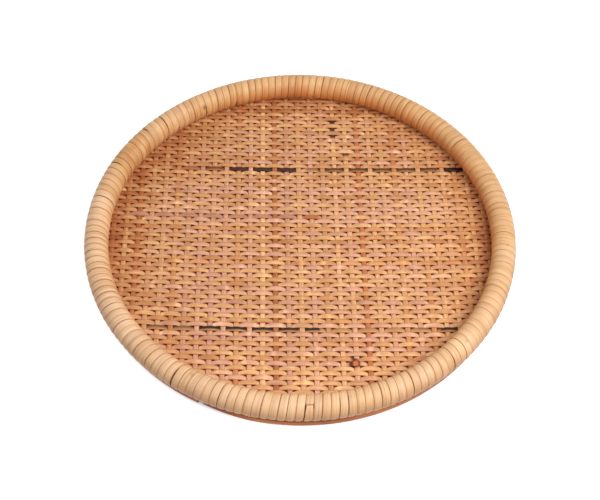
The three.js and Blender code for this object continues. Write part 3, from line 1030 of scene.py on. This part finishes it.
def add_hoop(bm, foot):
    """Adds the foot: a strip bent round until its ends nearly meet."""
    radius = FOOT_HIGH.x - foot.foot_width / 2
    half_height = (FOOT_HIGH.z - FOOT_LOW.z) / 2
    opening = foot.foot_gap / radius
    start = foot.foot_gap_at + opening / 2

    def place(u, v):
        theta = start + (2 * math.pi - opening) * u
        across, up = rounded(v, FOOT_ROUNDNESS)
        drawn_in = LAST_END_DRAW * ramp(u, 1 - LAST_END_SHARE, 1)
        drawn_in += FIRST_END_DRAW * (1 - ramp(u, 0, FIRST_END_SHARE)) ** 1.5
        half_width = foot.foot_width / 2 - abs(waver(FOOT_WEAR, theta, 1))
        reach = radius - drawn_in + across * half_width
        height = FOOT_LOW.z + half_height + up * half_height
        if up < 0 and across > 0:
            height += NICK_DEPTH * max(0.0, 1 - abs(math.degrees(theta) - NICK_AT) / NICK_HALF)
        point = (reach * math.cos(theta), reach * math.sin(theta), height)
        lay = (theta * radius, across if up > 0 else 2 - across, FOOT_NOISE)
        return point, lay, (0.5, waver(FOOT_SHADE, theta, 1), 0.0)

    add_strand(bm, FOOT_STEPS, FOOT_SIDES, place, (0, FOOT_MAP_ROWS, FOOT_MAP_ROWS))


def sink_recesses(piece, foot):
    """Cuts the recess of each brad's head into the underside."""
    cutter = new_strands()
    for name in BRAD_NODES:
        low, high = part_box(name)
        middle = (low + high) / 2
        bmesh.ops.create_cone(
            cutter,
            cap_ends=True,
            segments=RECESS_SIDES,
            radius1=foot.recess_radius,
            radius2=foot.recess_radius,
            depth=2 * foot.recess_depth,
            matrix=Matrix.Translation((middle.x, middle.y, FOOT_LOW.z)),
        )
    tool = shaped("recess_cutter", cutter)
    cut = piece.modifiers.new("recesses", "BOOLEAN")
    cut.operation = "DIFFERENCE"
    cut.solver = "EXACT"
    cut.object = tool
    bpy.context.view_layer.update()
    evaluated = piece.evaluated_get(bpy.context.evaluated_depsgraph_get())
    finished = bpy.data.meshes.new_from_object(evaluated)
    piece.modifiers.clear()
    piece.data = finished
    bpy.data.meshes.remove(tool.data)


class TRAY_OT_wefts(bpy.types.Operator):
    """Weave the wefts over and under the warps, a band of them to a piece"""

    bl_idname = "tray.wefts"
    bl_label = "Wefts"

    def execute(self, context):
        mat = context.scene.tray_mat
        material = split_core("split_rattan_weft", mat, mat.weft_width / 2)
        reach = MAT_RADIUS - WEFT_END_GAP
        outer = reach - OUTER_WEFT_GAP
        last = int(reach / mat.weft_pitch) + 1
        numbers = [n for n in range(-last, last + 1) if abs(weft_line(mat, n, 0)) < outer]
        share = math.ceil(len(numbers) / WEFT_BANDS)
        for band in range(WEFT_BANDS):
            bm = new_strands()
            members = numbers[band * share:(band + 1) * share]
            for row, number in enumerate(members):
                add_weft(bm, mat, number, reach, (row, 1, len(members)))
            finish_piece(bm, f"woven_wefts_{band + 1}", material, ["mat_wefts"])
        return {"FINISHED"}


class TRAY_OT_warps(bpy.types.Operator):
    """Lay the warps from front to back between the wefts"""

    bl_idname = "tray.warps"
    bl_label = "Warps"

    def execute(self, context):
        mat = context.scene.tray_mat
        material = split_core("split_rattan_warp", mat, mat.warp_width / 2)
        for number, name in enumerate(WARP_NODES, start=1):
            bm = new_strands()
            add_warp(bm, mat, number)
            finish_piece(bm, name.replace("mat_", "woven_"), material, [name])
        return {"FINISHED"}


class TRAY_OT_binding(bpy.types.Operator):
    """Wind the lengths of cane round the rim, turn against turn"""

    bl_idname = "tray.binding"
    bl_label = "Binding"

    def execute(self, context):
        rim = context.scene.tray_rim
        material = cane_skin(rim)
        per_length = rim.turns // len(CANE_NODES)
        for number, name in enumerate(CANE_NODES):
            first = number * per_length + (LATE_START if number == 0 else 0)
            last = (number + 1) * per_length + (LATE_START if number == len(CANE_NODES) - 1 else 0)
            bm = new_strands()
            add_length(bm, rim, number, first, last)
            finish_piece(bm, name.replace("binding_", "wound_"), material, [name])
        return {"FINISHED"}


class TRAY_OT_foot(bpy.types.Operator):
    """Bend the split pole of the foot into a hoop that doesn't quite close"""

    bl_idname = "tray.foot"
    bl_label = "Foot hoop"

    def execute(self, context):
        foot = context.scene.tray_foot
        bm = new_strands()
        add_hoop(bm, foot)
        piece = finish_piece(bm, "bent_foot_hoop", pole_skin(foot), ["foot_hoop"])
        sink_recesses(piece, foot)
        return {"FINISHED"}


class TRAY_OT_hidden(bpy.types.Operator):
    """Finish the pole, the scarf pins and the brads that the packed model already shapes"""

    bl_idname = "tray.hidden"
    bl_label = "Pole, pins and brads"

    def execute(self, context):
        pole = bare_pole(context.scene.tray_rim)
        steel = steel_wire(context.scene.tray_foot)
        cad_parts["rim_core"].material_slots[0].material = pole
        for name in PIN_NODES + BRAD_NODES:
            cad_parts[name].material_slots[0].material = steel
        return {"FINISHED"}


def add_camera(stage):
    data = bpy.data.cameras.new("camera")
    data.lens = stage.focal
    camera = linked("camera", data)
    back = Vector((0, -math.cos(stage.elevation), math.sin(stage.elevation)))
    right = Vector((1, 0, 0))
    up = back.cross(right)
    turned = Matrix.Rotation(stage.roll, 3, back)
    axes = Matrix((turned @ right, turned @ up, back)).transposed()
    target = Vector((0, stage.target_y, stage.target_z))
    camera.matrix_world = Matrix.Translation(target + back * stage.distance) @ axes.to_4x4()
    bpy.context.scene.camera = camera


def add_floor(stage):
    bm = bmesh.new()
    bmesh.ops.create_grid(bm, x_segments=1, y_segments=1, size=FLOOR_HALF)
    floor = shaped("paper_floor", bm)
    floor.data.materials.append(white_paper(stage))


def add_sky(stage):
    world = bpy.data.worlds.new("studio")
    world.use_nodes = True
    tree = world.node_tree
    tree.nodes.clear()
    level = {"Value": rays_to_camera(tree), "To Min": stage.sky, "To Max": 1.0}
    strength = node(tree, "ShaderNodeMapRange", level).outputs[0]
    sky = node(tree, "ShaderNodeBackground", {"Color": (1, 1, 1, 1), "Strength": strength})
    node(tree, "ShaderNodeOutputWorld", {"Surface": sky.outputs[0]})
    bpy.context.scene.world = world


def add_lamp(stage):
    data = bpy.data.lights.new("soft_box", "AREA")
    data.shape = "DISK"
    data.size = LAMP_SIZE
    data.energy = stage.lamp
    lamp = linked("soft_box", data)
    aim = LAMP_PLACE.to_track_quat("Z", "Y").to_matrix().to_4x4()
    lamp.matrix_world = Matrix.Translation(LAMP_PLACE) @ aim


class TRAY_OT_stage(bpy.types.Operator):
    """Set the camera, the soft light and the paper floor"""

    bl_idname = "tray.stage"
    bl_label = "Stage"

    def execute(self, context):
        context.scene.view_settings.view_transform = "Standard"
        for add in (add_camera, add_floor, add_sky, add_lamp):
            add(context.scene.tray_stage)
        return {"FINISHED"}


class TRAY_PT_panel(bpy.types.Panel):
    """Builds the tray's pieces and shows their settings"""

    bl_idname = "TRAY_PT_panel"
    bl_label = "Rattan tray"
    bl_space_type = "VIEW_3D"
    bl_region_type = "UI"
    bl_category = "Rattan tray"

    def draw(self, context):
        for operator in OPERATORS:
            self.layout.operator(operator.bl_idname)
        for name, group in SETTINGS.items():
            box = self.layout.box()
            box.label(text=group.__doc__)
            for setting in group.__annotations__:
                box.prop(getattr(context.scene, name), setting)


SETTINGS = {
    "tray_mat": MatSettings,
    "tray_rim": RimSettings,
    "tray_foot": FootSettings,
    "tray_stage": StageSettings,
}
OPERATORS = (TRAY_OT_wefts, TRAY_OT_warps, TRAY_OT_binding, TRAY_OT_foot, TRAY_OT_hidden, TRAY_OT_stage)
CLASSES = (*SETTINGS.values(), *OPERATORS, TRAY_PT_panel)


def register():
    for cls in CLASSES:
        bpy.utils.register_class(cls)
    for name, group in SETTINGS.items():
        setattr(bpy.types.Scene, name, PointerProperty(type=group))


def unregister():
    for name in SETTINGS:
        delattr(bpy.types.Scene, name)
    for cls in reversed(CLASSES):
        bpy.utils.unregister_class(cls)


def main():
    register()
    bpy.ops.tray.stage()
    bpy.ops.tray.wefts()
    bpy.ops.tray.warps()
    bpy.ops.tray.binding()
    bpy.ops.tray.foot()
    bpy.ops.tray.hidden()


if __name__ == "__main__":
    main()
